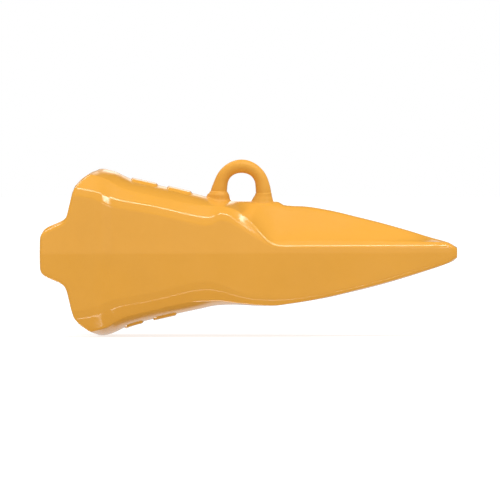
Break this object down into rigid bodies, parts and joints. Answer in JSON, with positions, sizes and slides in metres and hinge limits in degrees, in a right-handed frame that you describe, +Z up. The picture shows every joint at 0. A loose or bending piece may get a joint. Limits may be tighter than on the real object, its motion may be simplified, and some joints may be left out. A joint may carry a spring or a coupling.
{
  "type": "excavator bucket tooth",
  "caption": "Hollow cast digging tooth with a tapered socket, side lobes, a ribbed pointed nose, a lifting eye on top and a hammerless screw lock in one side wall.",
  "frame": {"origin": "middle of the seat face at the end of the socket, where the nose of the adapter bears, on the parting plane", "axes": "+X towards the digging tip, +Z up, the lock is in the +Y side wall"},
  "size_m": [0.44, 0.168, 0.1858],
  "materials": {
    "paint": "gloss orange-yellow enamel over cast alloy steel",
    "plated_steel": "zinc plated, machined",
    "dark_steel": "phosphated spring steel",
    "rubber": "matt black"
  },
  "bodies": {
    "casting": {"tooth_point": "paint", "lifting_eye": "paint", "eye_weld_rear": "paint", "eye_weld_front": "paint", "lock_collar": "plated_steel", "collar_gasket": "rubber", "collar_key": "dark_steel", "collar_snap_ring": "dark_steel", "plunger_spring": "dark_steel", "pin_drag_ring": "rubber"},
    "shoe": {"thrust_shoe": "plated_steel"},
    "pin": {"lock_pin": "plated_steel", "shoe_ring": "dark_steel"},
    "plug": {"drive_plug": "rubber"},
    "plunger": {"guide_plunger": "dark_steel"}
  },
  "joints": [
    {"name": "pin_travel", "type": "slide", "parent": "casting", "child": "shoe", "axis": [0, -1, 0], "range_m": [0, 0.012]},
    {"name": "pin_turn", "type": "hinge", "parent": "shoe", "child": "pin", "pos_m": [-0.095, 0.067, 0], "axis": [0, -1, 0], "range_deg": [0, 270]},
    {"name": "plug_pull", "type": "slide", "parent": "pin", "child": "plug", "axis": [0, 1, 0], "range_m": [0, 0.014]},
    {"name": "plunger_press", "type": "slide", "parent": "casting", "child": "plunger", "axis": [0, 0, 1], "range_m": [0, 0.0022], "stiffness_N_per_m": 1500, "springref_m": -0.001}
  ],
  "couplings": [
    {"joint": "pin_turn", "follows": "pin_travel", "rad_per_m": 392.7}
  ]
}
